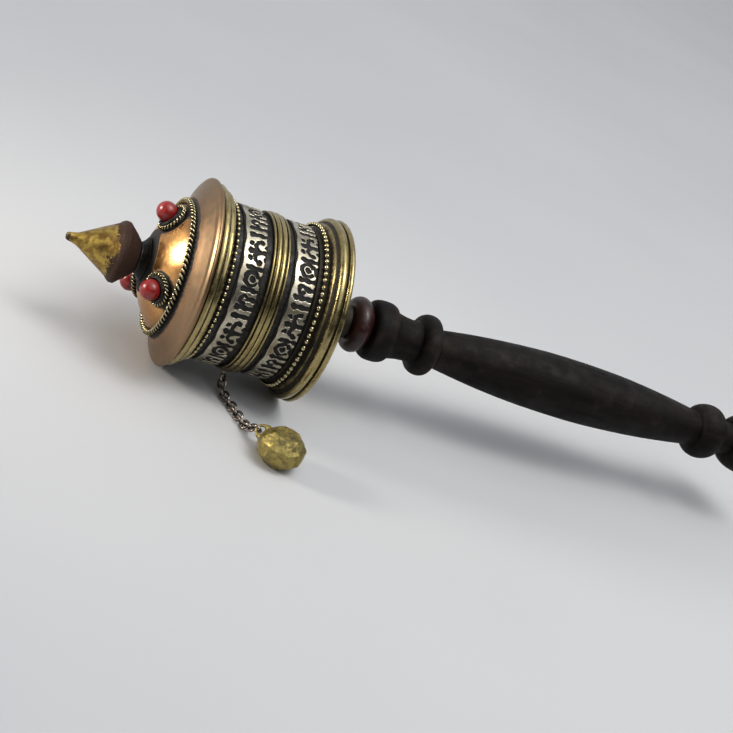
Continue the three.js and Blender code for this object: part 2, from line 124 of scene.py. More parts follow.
def rounded(outline, radius, closed=True, steps=3):
    """The outline with every corner turned into a short curve, and support points beside each curve."""
    points = [Vector((r, a)) for r, a in outline]
    count = len(points)
    result = []
    for i, corner in enumerate(points):
        if not closed and i in (0, count - 1):
            result.append(tuple(corner))
            continue
        before, after = points[i - 1] - corner, points[(i + 1) % count] - corner
        bend = math.pi - before.angle(after, 0)
        cut = min(radius * math.tan(min(bend, 2.6) / 2), before.length * 0.42, after.length * 0.42)
        if cut < 0.01 * MM or bend < 0.12:
            result.append(tuple(corner))
            continue
        start, end = corner + before.normalized() * cut, corner + after.normalized() * cut
        for k in range(steps + 1):
            t = k / steps
            result.append(tuple(start * (1 - t) ** 2 + corner * 2 * t * (1 - t) + end * t * t))
    return result


def densified(outline, step, closed=True):
    """The outline with points added so that no stretch is longer than step."""
    result = []
    for (r0, a0), (r1, a1) in zip(outline, outline[1:] + outline[:1] if closed else outline[1:]):
        pieces = max(1, math.ceil(math.hypot(r1 - r0, a1 - a0) / step))
        result += [(r0 + (r1 - r0) * k / pieces, a0 + (a1 - a0) * k / pieces) for k in range(pieces)]
    return result if closed else result + [outline[-1]]


def exposure(outline, reach_mm=0.9):
    """How much each outline point stands out from its surroundings: 1 on a ridge, 0 in a groove."""
    points = np.array(outline) / MM
    distance = np.linalg.norm(points[:, None] - points[None], axis=2)
    weight = np.exp(-((distance / reach_mm) ** 2))
    average = (weight[:, :, None] * points[None]).sum(1) / weight.sum(1)[:, None]
    return np.clip(0.55 + 3.2 * (points[:, 0] - average[:, 0]), 0, 1)


def offset(r, along, *steps):
    """Outline points that lie these steps, in mm outwards and along, from one corner."""
    return [(r + out * MM, along + on * MM) for out, on in steps]


def polar(x, r, angle):
    """A point r from the rod's axis, at an angle from straight up towards +Y."""
    return Vector((x, r * math.sin(angle), r * math.cos(angle)))


def circle(centre, first_way, second_way, radius, count):
    """Points round a circle, from first_way towards second_way."""
    angles = [TURN * k / count for k in range(count)]
    return [centre + radius * (math.cos(a) * first_way + math.sin(a) * second_way) for a in angles]


def turned(name, outline, steps, closed=True, shape=None, wear=None):
    """A piece turned about the rod from (radius, along) pairs, which close on themselves or end on
    the axis. shape(radius, along, angle) gives the point's own radius where it isn't quite round."""
    points, rows, values = [], [], []
    wear = exposure(outline) if wear is None else wear
    for (r, along), w in zip(outline, wear):
        count = 1 if r < 1e-7 else steps
        row = []
        for j in range(count):
            angle = TURN * j / steps
            own = shape(r, along, angle) if shape and count > 1 else r
            row.append(len(points))
            points.append(polar(-along, own, angle))
            values.append(w)
        rows.append(row)
    faces = []
    for below, above in zip(rows, rows[1:] + rows[:1] if closed else rows[1:]):
        for j in range(steps):
            k = (j + 1) % steps
            if len(below) == 1:
                faces.append((below[0], above[k], above[j]))
            elif len(above) == 1:
                faces.append((below[j], below[k], above[0]))
            else:
                faces.append((below[j], below[k], above[k], above[j]))
    return new_object(name, points, faces, {"wear": values})


def blob_points(rings=8, segments=12):
    """Unit sphere points and faces, with poles."""
    points = [Vector((0, 0, 1))]
    for i in range(1, rings):
        tilt = math.pi * i / rings
        for j in range(segments):
            a = TURN * j / segments
            level = math.sin(tilt)
            points.append(Vector((level * math.cos(a), level * math.sin(a), math.cos(tilt))))
    points.append(Vector((0, 0, -1)))
    last = len(points) - 1
    faces = [(0, 1 + j, 1 + (j + 1) % segments) for j in range(segments)]
    faces += grid_faces(rings - 1, segments, False, True, first=1)
    base = 1 + (rings - 2) * segments
    faces += [(last, base + (j + 1) % segments, base + j) for j in range(segments)]
    return points, faces


def smoothstep(low, high, x):
    t = np.clip((x - low) / (high - low), 0, 1)
    return t * t * (3 - 2 * t)


# ---- Material helpers ----
class Shade:
    """A material under construction: a principled shader and the nodes that feed it."""

    def __init__(self, name, **fixed):
        self.material = bpy.data.materials.new(name)
        self.material.use_nodes = True
        self.tree = self.material.node_tree
        self.shader = self.tree.nodes["Principled BSDF"]
        for socket, value in fixed.items():
            self.shader.inputs[socket.replace("_", " ")].default_value = value
        self.place = self.node("ShaderNodeTexCoord").outputs["Object"]

    def node(self, kind, **settings):
        new = self.tree.nodes.new(kind)
        for key, value in settings.items():
            setattr(new, key, value)
        return new

    def link(self, source, target):
        self.tree.links.new(source, target)

    def stretched(self, x, y, z):
        """Object coordinates scaled by a factor along each axis."""
        scaled = self.node("ShaderNodeMapping")
        scaled.inputs["Scale"].default_value = (x, y, z)
        self.link(self.place, scaled.inputs["Vector"])
        return scaled.outputs["Vector"]

    def noise(self, scale, detail=4, roughness=0.55, where=None):
        new = self.node("ShaderNodeTexNoise")
        new.inputs["Scale"].default_value = scale
        new.inputs["Detail"].default_value = detail
        new.inputs["Roughness"].default_value = roughness
        self.link(where or self.place, new.inputs["Vector"])
        return new.outputs["Fac"]

    def attribute(self, name):
        return self.node("ShaderNodeAttribute", attribute_name=name).outputs["Fac"]

    def math(self, operation, a, b=None, clamp=False):
        new = self.node("ShaderNodeMath", operation=operation, use_clamp=clamp)
        for socket, value in zip(new.inputs, (a, b)):
            if value is None:
                continue
            if isinstance(value, (int, float)):
                socket.default_value = value
            else:
                self.link(value, socket)
        return new.outputs[0]

    def plus(self, value, other, amount, middle=0.0, clamp=False):
        """value + (other - middle) * amount"""
        if middle:
            other = self.math("SUBTRACT", other, middle)
        return self.math("ADD", value, self.math("MULTIPLY", other, amount), clamp)

    def mapped(self, value, low, high, to_low=0.0, to_high=1.0):
        new = self.node("ShaderNodeMapRange", interpolation_type="SMOOTHSTEP")
        ends = {"From Min": low, "From Max": high, "To Min": to_low, "To Max": to_high}
        for socket, number in ends.items():
            new.inputs[socket].default_value = number
        self.link(value, new.inputs["Value"])
        return new.outputs["Result"]

    def mixed(self, share, first, second):
        """Between two colours, each a triple or a node's output."""
        new = self.node("ShaderNodeMix", data_type="RGBA")
        for socket, value in zip((new.inputs[0], new.inputs[6], new.inputs[7]), (share, first, second)):
            if isinstance(value, tuple):
                socket.default_value = (*value, 1)
            elif isinstance(value, (int, float)):
                socket.default_value = value
            else:
                self.link(value, socket)
        return new.outputs[2]

    def bump(self, height, distance, strength=1.0):
        new = self.node("ShaderNodeBump")
        new.inputs["Strength"].default_value = strength
        new.inputs["Distance"].default_value = distance
        self.link(height, new.inputs["Height"])
        self.link(new.outputs["Normal"], self.shader.inputs["Normal"])

    def finish(self, **sources):
        for socket, source in sources.items():
            self.link(source, self.shader.inputs[socket.replace("_", " ")])
        return self.material


def worn_metal(
    name, bright, tint, dark, polish=(0.15, 0.34), dark_at=(0.20, 0.50), spots=0.25, grain=0.035, turning_marks_and_painted_reflection=0.5
):
    """Metal that is bright where it is rubbed and dark in its hollows, with turning marks and painted
    reflection rings round the rod.
    """
    s = Shade(name, Metallic=1.0)
    clouds = s.noise(180, 5, 0.6)
    specks = s.noise(1500, 3, 0.7)
    # Dark and bright rings round the rod, put into the colour: a painted reflection of the room, as on
    # polished turned metal.
    painted_reflection_rings = s.noise(1, 5, 0.65, s.stretched(1900, 75, 75))
    mask = s.plus(s.attribute("wear"), clouds, spots * 2.0, 0.5)
    mask = s.plus(mask, specks, spots * 1.2, 0.5)
    mask = s.plus(mask, painted_reflection_rings, turning_marks_and_painted_reflection * 1.3, 0.5)
    bright_share = s.mapped(mask, *dark_at)
    # The metal's own uneven tone, mixed with the painted reflection rings.
    tone_and_painted_reflection = s.plus(s.math("MULTIPLY", painted_reflection_rings, 2 * turning_marks_and_painted_reflection), s.noise(420, 4, 0.6), 1 - turning_marks_and_painted_reflection)
    hue = s.mixed(s.mapped(tone_and_painted_reflection, 0.36 + 0.3 * turning_marks_and_painted_reflection, 0.64 + 0.6 * turning_marks_and_painted_reflection), bright, tint)
    colour = s.mixed(bright_share, dark, hue)
    turning = s.noise(1, 3, 0.6, s.stretched(5200, 200, 200))
    smooth = s.mapped(s.noise(310, 4, 0.65), 0.3, 0.7, *polish)
    roughness = s.plus(smooth, s.math("SUBTRACT", 1.0, bright_share), 0.35, clamp=True)
    s.bump(s.plus(s.noise(900, 4, 0.6), turning, 1.2 * turning_marks_and_painted_reflection), grain * MM, 0.5)
    metallic = s.mapped(bright_share, 0, 1, 0.5, 1.0)
    return s.finish(Base_Color=colour, Roughness=roughness, Metallic=metallic)


def black_patina():
    s = Shade("black_patina")
    rubbed = s.mapped(s.noise(600, 5, 0.7), 0.45, 0.75)
    colour = s.mixed(rubbed, (0.006, 0.005, 0.004), (0.035, 0.026, 0.018))
    roughness = s.mapped(s.noise(350, 4), 0.3, 0.7, 0.38, 0.7)
    metallic = s.mapped(s.noise(500), 0.4, 0.7, 0.2, 0.7)
    s.bump(s.noise(1300, 5, 0.65), 0.08 * MM, 0.7)
    return s.finish(Base_Color=colour, Roughness=roughness, Metallic=metallic)


def dark_wood():
    s = Shade("dark_wood", Specular_IOR_Level=0.12)
    grain = s.noise(1, 8, 0.62, s.stretched(28, 420, 420))
    pores = s.noise(1, 4, 0.75, s.stretched(110, 2600, 2600))
    colour = s.mixed(s.mapped(grain, 0.35, 0.7), (0.0034, 0.0027, 0.0024), (0.0095, 0.0068, 0.0056))
    handled = s.plus(s.noise(70, 5, 0.6), s.attribute("wear"), 0.25)
    colour = s.mixed(s.mapped(handled, 0.66, 0.88), colour, (0.019, 0.0135, 0.011))
    deep = s.mapped(pores, 0.6, 0.72)
    colour = s.mixed(s.math("MULTIPLY", deep, 0.7), colour, (0.003, 0.0025, 0.002))
    roughness = s.mapped(s.plus(s.noise(160, 5), pores, 0.3), 0.4, 0.85, 0.46, 0.70)
    s.bump(s.plus(s.math("MULTIPLY", grain, 0.5), deep, -0.6), 0.12 * MM, 0.6)
    return s.finish(Base_Color=colour, Roughness=roughness)


def red_wood():
    s = Shade("red_wood", Coat_Weight=0.2, Coat_Roughness=0.25, Specular_IOR_Level=0.3)
    rings = s.noise(1, 6, 0.6, s.stretched(240, 900, 300))
    colour = s.mixed(s.mapped(rings, 0.35, 0.68), (0.010, 0.0026, 0.0026), (0.034, 0.008, 0.007))
    colour = s.mixed(s.mapped(s.noise(260, 5), 0.55, 0.75), colour, (0.056, 0.017, 0.012))
    roughness = s.mapped(s.noise(420, 4), 0.3, 0.7, 0.3, 0.5)
    s.bump(rings, 0.05 * MM, 0.35)
    return s.finish(Base_Color=colour, Roughness=roughness)


def coral():
    s = Shade("coral", Coat_Weight=0.25, Coat_Roughness=0.16, Subsurface_Weight=0.05, Subsurface_Scale=0.001)
    veins = s.noise(700, 6, 0.65)
    colour = s.mixed(s.mapped(veins, 0.38, 0.72), (0.20, 0.006, 0.007), (0.34, 0.018, 0.014))
    colour = s.mixed(s.mapped(s.noise(2400, 3, 0.8), 0.66, 0.74), colour, (0.09, 0.004, 0.004))
    s.bump(s.noise(1700, 4, 0.6), 0.012 * MM, 0.3)
    return s.finish(Base_Color=colour, Roughness=s.mapped(veins, 0.3, 0.7, 0.26, 0.40))


def paper():
    s = Shade("paper")
    colour = s.mixed(s.mapped(s.noise(90, 6, 0.6), 0.35, 0.7), (0.42, 0.31, 0.17), (0.64, 0.52, 0.34))
    colour = s.mixed(s.mapped(s.noise(2600, 3, 0.8), 0.64, 0.74), colour, (0.26, 0.17, 0.08))
    s.bump(s.noise(1, 5, 0.7, s.stretched(300, 2400, 2400)), 0.08 * MM, 0.8)
    return s.finish(Base_Color=colour, Roughness=s.mapped(s.noise(500), 0.3, 0.7, 0.78, 0.95))


def band_metal():
    """White metal on a black ground, told apart by the relief's own height, with grime along the cuts."""
    s = Shade("white_metal", Metallic=1.0)
    stain = s.noise(150, 6, 0.65)
    fine = s.noise(900, 5, 0.7)
    bright_share = s.mapped(s.plus(s.attribute("wear"), fine, 0.45, 0.5), 0.55, 0.85)
    face = s.mixed(s.mapped(stain, 0.38, 0.62), (0.52, 0.475, 0.375), (0.31, 0.275, 0.20))
    face = s.mixed(s.mapped(fine, 0.56, 0.74), face, (0.15, 0.125, 0.08))
    colour = s.mixed(bright_share, (0.005, 0.004, 0.0035), face)
    dirt = s.math("SUBTRACT", 1.0, bright_share)
    roughness = s.plus(s.mapped(stain, 0.3, 0.7, 0.22, 0.42), dirt, 0.45, clamp=True)
    s.bump(s.noise(700, 5, 0.65), 0.06 * MM, 0.55)
    return s.finish(Base_Color=colour, Roughness=roughness, Metallic=s.mapped(bright_share, 0, 1, 0.0, 1.0))


def lid_copper():
    """Copper: pinkish brown on the brim, golden where the dome is polished, black round the trimmings, and
    round the neck partly a painted shadow and reflection of the finial.
    """
    s = Shade("copper", Metallic=1.0)
    clouds = s.noise(130, 6, 0.62)
    base = s.mixed(s.mapped(clouds, 0.35, 0.68), (0.37, 0.205, 0.11), (0.27, 0.15, 0.082))
    golden = s.math("MULTIPLY", s.attribute("golden"), s.mapped(s.noise(240, 5), 0.25, 0.7, 0.6, 1.0))
    base = s.mixed(golden, base, (0.70, 0.36, 0.12))
    dull = s.math("MULTIPLY", s.attribute("dull"), s.mapped(s.noise(340, 6, 0.7), 0.2, 0.62))
    base = s.mixed(dull, base, (0.255, 0.175, 0.100))
    specks = s.math("MULTIPLY", s.attribute("dull"), s.mapped(s.noise(950, 3, 0.75), 0.70, 0.76))
    base = s.mixed(specks, base, (0.75, 0.52, 0.20))
    # Black: patina round the trimmings and, round the neck, partly a painted shadow and painted reflection
    # of the finial.
    black = s.mapped(s.plus(s.attribute("soot_and_painted_shade"), s.noise(420, 6, 0.7), 0.6, 0.5), 0.36, 0.72)
    colour = s.mixed(black, base, (0.010, 0.008, 0.006))
    roughness = s.mapped(s.noise(300, 6, 0.65), 0.28, 0.72, 0.19, 0.30)
    roughness = s.plus(s.plus(roughness, black, 0.45), s.attribute("dull"), 0.14, clamp=True)
    s.bump(s.plus(s.noise(420, 5, 0.6), s.noise(2100, 4, 0.7), 0.35), 0.035 * MM, 0.6)
    return s.finish(Base_Color=colour, Roughness=roughness, Metallic=s.mapped(black, 0, 1, 1.0, 0.0))


def floor_paint():
    s = Shade("floor_paint")
    colour = s.mixed(s.mapped(s.noise(3, 3), 0.3, 0.7), (0.50, 0.505, 0.52), (0.525, 0.53, 0.54))
    s.bump(s.noise(900, 3), 0.02 * MM, 0.3)
    return s.finish(Base_Color=colour, Roughness=s.mapped(s.noise(20), 0.3, 0.7, 0.72, 0.82))


MATERIAL = {
    "dark_wood": dark_wood(),
    "red_wood": red_wood(),
    "steel": worn_metal("steel", (0.42, 0.41, 0.39), (0.30, 0.29, 0.28), (0.05, 0.045, 0.04)),
    "chain_steel": worn_metal(
        "chain_steel", (0.48, 0.42, 0.37), (0.16, 0.125, 0.10), (0.025, 0.018, 0.014),
        polish=(0.18, 0.42), dark_at=(0.2, 0.7), spots=0.5, turning_marks_and_painted_reflection=0.2,
    ),
    "brass": worn_metal("brass", (0.47, 0.385, 0.19), (0.27, 0.215, 0.090), (0.020, 0.015, 0.008)),
    "bead_brass": worn_metal(
        "bead_brass", (0.62, 0.55, 0.34), (0.46, 0.38, 0.19), (0.008, 0.006, 0.004),
        dark_at=(0.34, 0.66), spots=0.15, turning_marks_and_painted_reflection=0.1,
    ),
    "finial_brass": worn_metal(
        "finial_brass", (0.47, 0.335, 0.080), (0.24, 0.140, 0.045), (0.042, 0.020, 0.012),
        polish=(0.32, 0.52), dark_at=(0.36, 0.60), spots=1.0, grain=0.12, turning_marks_and_painted_reflection=0.0,
    ),
    "weight_brass": worn_metal(
        "weight_brass", (0.44, 0.350, 0.115), (0.22, 0.180, 0.066), (0.060, 0.052, 0.026),
        polish=(0.40, 0.60), dark_at=(0.1, 0.62), spots=0.6, grain=0.2, turning_marks_and_painted_reflection=0.0,
    ),
    "copper": lid_copper(),
    "white_metal": band_metal(),
    "black_patina": black_patina(),
    "coral": coral(),
    "paper": paper(),
}


def made(piece, node):
    """Gives a finished piece the body, slot and material of the CAD node that it replaces."""
    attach(piece, BODY_OF[node])
    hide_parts(node)
    piece.data.materials.clear()
    piece.data.materials.append(MATERIAL[SLOT_OF[node]])


def make_turned(node, name, outline, steps, corner, step, closed=True, shape=None, wear=exposure):
    """The turned piece that replaces a node. First its outline's corners are rounded by corner and
    its long stretches cut to step, both in mm; wear(outline) gives each point's wear."""
    outline = densified(rounded(outline, corner * MM, closed), step * MM, closed)
    piece = turned(name, outline, steps, closed, shape, wear(outline))
    made(piece, node)
    return piece


# ---- Handle, rod and washer ----
def bulge(low, high, from_r, peak_r, to_r, steps=18, square=2.0, skew=1.0):
    """(radius, along) points of a bulge between two radii. square above 2 flattens its top,
    and skew above 1 moves its peak towards low."""
    points = []
    for k in range(steps + 1):
        u = -math.cos(math.pi * k / steps)
        share = (u + 1) / 2
        base = from_r + (to_r - from_r) * share
        height = max(0.0, 1 - abs(u) ** square) ** (1 / square)
        points.append((base + (peak_r - base) * height, low + (high - low) * share**skew))
    return points


def make_handle():
    length = span("handle")[1]
    neck, cove, waist = 7.3 * MM, 6.8 * MM, 8.1 * MM
    pommel_top, end_bead, grip_low = 25 * MM, 31.4 * MM, 43.6 * MM
    collar_low = length - 9.2 * MM
    bead_high = collar_low - 11.2 * MM
    bead_low = bead_high - 7.6 * MM
    bore_r, bore_end = ROD_R + 0.25 * MM, length - 12 * MM
    grip = []
    for k in range(41):
        u = k / 20 - 1
        swell = neck + 4.95 * MM * (1 - u * u)
        grip.append((swell, grip_low + 0.5 * MM + (bead_low - grip_low - 1 * MM) * k / 40))
    outline = [(0, 0), (4.2 * MM, 0)]
    outline += bulge(0.5 * MM, pommel_top, 5.4 * MM, reach("handle") - 0.02 * MM, cove, 26)
    outline += [(cove - 0.1 * MM, pommel_top + 1.4 * MM), (cove, end_bead - 1.6 * MM)]
    outline += bulge(end_bead, grip_low, cove + 0.9 * MM, 11.6 * MM, neck + 0.4 * MM)
    outline += grip
    outline += bulge(bead_low, bead_high, neck + 1.4 * MM, 12 * MM, waist + 0.5 * MM, 20, 2.2, 1.15)
    outline += offset(waist, bead_high, (0.05, 1.2), (-0.05, 3), (0.3, 6.4), (0.9, 9.2))
    outline += bulge(collar_low, length - 0.1 * MM, waist + 1.7 * MM, 11.8 * MM, 9.6 * MM, 20, 2.5)
    outline += [(8.6 * MM, length), (bore_r, length), (bore_r, bore_end), (0, bore_end)]

    def carved(r, along, angle):
        """Hand-turned wood isn't quite true."""
        p = polar(along * 55, 2, angle)
        return r * (1 + 0.006 * noise.noise(p)) + 0.05 * MM * noise.noise(p * 7)

    make_turned("handle", "handle_turned", outline, 96, 0.8, 1.6, closed=False, shape=carved)


def make_rod():
    low, high = span("axle_rod")
    thread_length, pitch, depth = 9 * MM, 0.8 * MM, 0.22 * MM
    outline = [(0, low), (ROD_R, low), (ROD_R, high - thread_length)]
    turns = int(thread_length / pitch * 8)
    outline += [(ROD_R, high - thread_length + thread_length * k / turns) for k in range(1, turns - 5)]
    outline += [(ROD_R - 0.5 * MM, high), (0, high)]

    def threaded(r, along, angle):
        if along < high - thread_length or r < ROD_R - 0.1 * MM:
            return r
        phase = (along / pitch - angle / TURN) % 1
        return r - depth * abs(2 * phase - 1)

    piece = turned("axle_rod_threaded", outline, 32, closed=False, shape=threaded, wear=[0.8] * len(outline))
    made(piece, "axle_rod")


def make_washer():
    low, high = span("washer_bead")
    outline = [(BORE_R, low + 0.1 * MM)]
    outline += bulge(low, high, 7.4 * MM, reach("washer_bead"), 7.9 * MM, 22, 1.9, 0.85)
    outline += [(BORE_R, high - 0.1 * MM)]
    make_turned("washer_bead", "washer_bead_polished", outline, 80, 0.3, 1.2)


# ---- Drum ----
def make_boss():
    low, high = span("base_bushing")
    shoulder, flange = DRUM_LOW - SEAM, reach("base_bushing")
    r, spigot = 6.6 * MM, 5.6 * MM
    outline = [(BORE_R, low)] + offset(r, low, (-0.3, 0), (0, 0.4), (0, 3.4), (-0.7, 4))
    outline += offset(r, shoulder, (-0.7, -3.2), (0.2, -2.4)) + [(flange, shoulder - 0.7 * MM)]
    outline += [(flange, shoulder), (spigot, shoulder), (spigot, high), (BORE_R, high)]

    # The whole boss is coloured almost black: a painted shade that stands for the dark gap between the rim
    # and the washer.
    def dark(points):
        return [0.08] * len(points)

    make_turned("base_bushing", "base_bushing_turned", outline, 72, 0.3, 0.8, wear=dark)


def make_base_disc():
    low, high = span("drum_base")
    inner, outer = 5.9 * MM, reach("drum_base")
    rings = 7
    outline = [(inner, low)]
    for k in range(1, rings):
        r = inner + (outer - inner) * k / rings
        outline += offset(r, low, (-0.35, 0), (0, 0.22), (0.35, 0))
    outline += [(outer, low), (outer, high), (inner, high)]

    def dark_grooves(points):
        return [0.7 if a > low + 0.15 * MM or abs(a - low) < 0.02 * MM else 0.2 for _, a in points]

    make_turned("drum_base", "drum_base_disc", outline, 128, 0.2, 1.5, wear=dark_grooves)


def make_shell():
    low, high = span("drum_shell")
    inner = SHELL_R - SHELL_WALL
    outline = [(inner, low), (SHELL_R, low), (SHELL_R, high), (inner, high)]
    make_turned("drum_shell", "drum_shell_rolled", outline, 144, 0.15, 2)


def make_base_rim():
    low, high = span("base_rim")
    edge, seat = reach("base_rim") - 0.02 * MM, SHELL_R + SEAM
    sleeve = seat + 0.7 * MM
    outline = [(seat, low)] + offset(edge, low, (-4.6, 0), (-3.9, 0.3), (-2.2, 0))
    outline += bulge(low + 0.05 * MM, low + 2.1 * MM, edge - 0.9 * MM, edge, edge - 0.9 * MM, 12)
    outline += offset(edge, low, (-1.15, 2.3))
    outline += bulge(low + 2.5 * MM, low + 5.6 * MM, edge - 1.2 * MM, edge - 0.25 * MM, edge - 1.9 * MM, 14)
    outline += offset(edge, low, (-2.25, 5.8), (-2.15, 6.1), (-3.3, 6.9), (-4.5, 7.5))
    outline += offset(sleeve, low, (0.1, 8.3), (0, 9)) + [(sleeve, high), (seat, high)]

    def dark_cove(points):
        cove = np.array([along for _, along in points]) - low - 5.7 * MM
        return exposure(points) * (1 - smoothstep(0.8 * MM, 2.2 * MM, cove))

    make_turned("base_rim", "base_rim_spun", outline, 176, 0.35, 0.45, wear=dark_cove)


def make_moulding():
    low, high = span("centre_moulding")
    r, seat, height = reach("centre_moulding"), SHELL_R + SEAM, high - low

    def rib(start, end, top, steps=10):
        foot = r - 1.0 * MM
        return bulge(low + height * start, low + height * end, foot, r - top, foot, steps, 2.3)

    outline = [(seat, low)] + rib(0.01, 0.15, 0.35 * MM) + rib(0.2, 0.5, 0.04 * MM, 14)
    outline += rib(0.51, 0.79, 0.02 * MM, 14) + rib(0.85, 0.99, 0.35 * MM) + [(seat, high)]
    make_turned("centre_moulding", "centre_moulding_spun", outline, 168, 0.12, 0.35)


def make_cornice():
    low, high = span("cornice_moulding")
    seat, edge = SHELL_R + SEAM, reach("cornice_moulding") - 0.02 * MM
    cove_low, cove_high = low + 0.1 * MM, low + 2.5 * MM
    outline = [(seat, low), (seat + 1.6 * MM, low)]
    outline += bulge(cove_low, cove_high, seat + 1.7 * MM, edge - 1.5 * MM, edge - 1.9 * MM, 14, 2.2)
    outline += [(edge - 1.7 * MM, low + 2.65 * MM)]
    outline += bulge(low + 2.8 * MM, high - 0.1 * MM, edge - 1.3 * MM, edge, edge - 0.6 * MM, 12, 2.4)
    outline += [(seat, high)]
    make_turned("cornice_moulding", "cornice_spun", outline, 168, 0.15, 0.35)


def make_beads(node, count, seed):
    """A row of beads soldered side by side on a thin wire."""
    chance = random.Random(seed)
    low, high = span(node)
    ring_r, middle = reach(node) - (high - low) / 2, (low + high) / 2
    bead_r = (high - low) / 2 * 1.1
    rod_way = Vector((1, 0, 0))
    unit, unit_faces = blob_points()
    points, faces, wear = [], [], []
    for k in range(count):
        angle = TURN * k / count + chance.uniform(-0.06, 0.06) * TURN / count
        out, around = polar(0, 1, angle), polar(0, 1, angle + TURN / 4)
        size = bead_r * chance.uniform(0.94, 1.0)
        centre = out * (ring_r + chance.uniform(0.06, 0.12) * MM)
        centre.x = -middle + chance.uniform(-0.05, 0.05) * MM
        first = len(points)
        for p in unit:
            points.append(centre + size * (p.x * rod_way + 1.18 * p.y * around + 0.96 * p.z * out))
            wear.append(0.5 + 0.5 * p.z)
        faces += [tuple(first + i for i in face) for face in unit_faces]
    steps, sides, wire_r = 2 * count, 6, 0.42 * bead_r
    faces += grid_faces(steps, sides, True, True, len(points))
    for j in range(steps):
        out = polar(0, 1, TURN * j / steps)
        points += circle(out * (ring_r - 0.2 * bead_r) - middle * rod_way, out, rod_way, wire_r, sides)
    wear += [0.0] * steps * sides
    made(new_object(node + "_beaded", points, faces, {"wear": wear}), node)


# Strokes cut into a band, in mm, in a cell 10.3 wide and 9 high whose edge y = 0 is the open one:
# ("bar", x0, y0, x1, y1, half width), ("arc", x, y, radius, from, to, half width) in degrees and
# ("dot", x, y, radius).
CELL_WIDTH, CELL_HEIGHT = 10.3, 9.0
CUT_SPREAD = 0.13  # how far every stroke is widened
TWIN_BARS_AND_CURL = [
    ("bar", 1.7, 6.2, 1.9, -0.6, 0.60),
    ("dot", 1.6, 6.0, 0.98),
    ("bar", 5.0, 6.2, 5.2, -0.6, 0.60),
    ("dot", 4.9, 6.0, 0.98),
    ("bar", 8.4, 2.9, 8.4, -0.6, 0.55),
    ("arc", 7.9, 4.5, 1.35, -70, 190, 0.52),
    ("dot", 6.75, 4.2, 0.72),
]
RING_BETWEEN_BARS = [
    ("arc", 5.15, 3.8, 2.35, -55, 235, 0.58),
    ("dot", 5.15, 3.6, 1.0),
    ("bar", 1.2, 5.6, 1.2, -0.6, 0.52),
    ("dot", 1.2, 5.9, 0.85),
    ("bar", 9.1, 5.6, 9.1, -0.6, 0.52),
    ("dot", 9.1, 5.9, 0.85),
    ("arc", 5.15, -0.9, 1.7, 20, 160, 0.5),
]
PALMETTE = [
    ("bar", 5.15, 6.1, 5.15, -0.6, 0.62),
    ("dot", 5.15, 5.9, 1.05),
    ("arc", 2.9, 2.3, 2.0, -10, 165, 0.55),
    ("arc", 7.4, 2.3, 2.0, 15, 190, 0.55),
    ("dot", 1.1, 2.4, 0.85),
    ("dot", 9.2, 2.4, 0.85),
    ("dot", 2.3, 6.1, 0.75),
    ("dot", 8.0, 6.1, 0.75),
    ("dot", 2.6, 0.2, 0.7),
    ("dot", 7.7, 0.2, 0.7),
]
MOTIFS = [TWIN_BARS_AND_CURL, RING_BETWEEN_BARS, PALMETTE]
CELLS = 18


def stroke_distance(stroke, x, y):
    """Distance in mm from each point to the edge of a stroke, negative inside."""
    kind = stroke[0]
    if kind == "dot":
        _, cx, cy, r = stroke
        return np.hypot(x - cx, y - cy) - r
    if kind == "bar":
        _, x0, y0, x1, y1, half = stroke
        dx, dy = x1 - x0, y1 - y0
        t = np.clip(((x - x0) * dx + (y - y0) * dy) / (dx * dx + dy * dy), 0, 1)
        return np.hypot(x - x0 - t * dx, y - y0 - t * dy) - half * (1 + 0.45 * (1 - t))
    _, cx, cy, r, start, end, half = stroke
    angle = np.degrees(np.arctan2(y - cy, x - cx))
    middle, spread = (start + end) / 2, (end - start) / 2
    off = (angle - middle + 180) % 360 - 180
    along = np.clip(off, -spread, spread)
    nearest = np.radians(middle + along)
    taper = half * (1 - 0.45 * (along / spread) ** 2 * (along > 0))
    return np.hypot(x - cx - r * np.cos(nearest), y - cy - r * np.sin(nearest)) - taper


def band_relief(x, y, width, height):
    """Height of the band's face: 1 where the sheet is left, 0 where it is cut away."""
    cell_width = width / CELLS
    index = np.minimum((x / cell_width).astype(int), CELLS - 1)
    angle = TURN * x / width
    bent_x = x + 0.14 * np.sin(1.9 * y + 34 * angle) + 0.10 * np.sin(71 * angle - 2.3 * y)
    bent_y = y + 0.16 * np.sin(53 * angle) + 0.10 * np.sin(97 * angle + 1.1 * y)
    local = (bent_x - index * cell_width) * CELL_WIDTH / cell_width
    across = bent_y * CELL_HEIGHT / height
    depth = np.full(x.shape, CELL_HEIGHT)
    for k, motif in enumerate(MOTIFS):
        here = index % len(MOTIFS) == k
        for stroke in motif:
            edge = stroke_distance(stroke, local[here], across[here]) - CUT_SPREAD
            depth[here] = np.minimum(depth[here], edge)
    scallop = 0.30 + 0.42 * np.abs(np.cos(np.pi * x / cell_width)) ** 3
    depth = np.minimum(depth, bent_y - 0.30)
    depth = np.minimum(depth, height - scallop - y)
    return smoothstep(-0.06, 0.12, depth)


